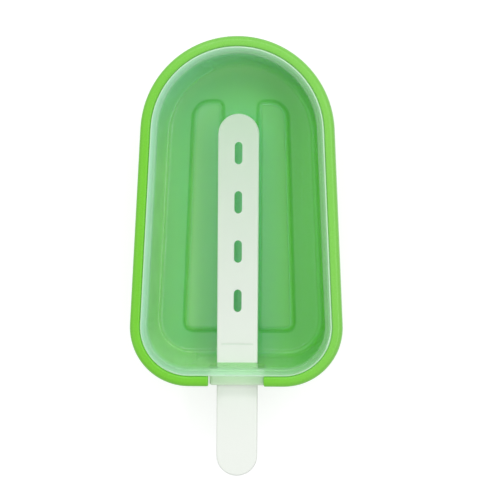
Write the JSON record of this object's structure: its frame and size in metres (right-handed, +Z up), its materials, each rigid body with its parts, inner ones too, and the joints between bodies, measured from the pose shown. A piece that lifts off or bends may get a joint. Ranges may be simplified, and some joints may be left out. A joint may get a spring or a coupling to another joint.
{
  "type": "ice pop mold",
  "caption": "Ice pop mould: a translucent tray nested in a rimmed opaque holder, with a flat slotted stick that slides in a collar at the handle end.",
  "frame": {"origin": "middle of the holder's flat underside, halfway between its round tip and its flat handle end", "axes": "+Z up out of the open tray, +Y towards the pop's round tip (the stick's handle points to -Y), +X across"},
  "size_m": [0.0774, 0.1598, 0.0249],
  "materials": {
    "holder_plastic": "smooth opaque lime green, soft gloss",
    "tray_plastic": "translucent, frosted, faintly bluish white",
    "stick_plastic": "opaque white, satin"
  },
  "bodies": {
    "mold": {"holder": "holder_plastic", "mold_tray": "tray_plastic"},
    "stick": {"stick": "stick_plastic"}
  },
  "joints": [
    {"name": "stick_slide", "type": "slide", "parent": "mold", "child": "stick", "axis": [0, -1, 0], "range_m": [-0.019, 0.08]}
  ]
}
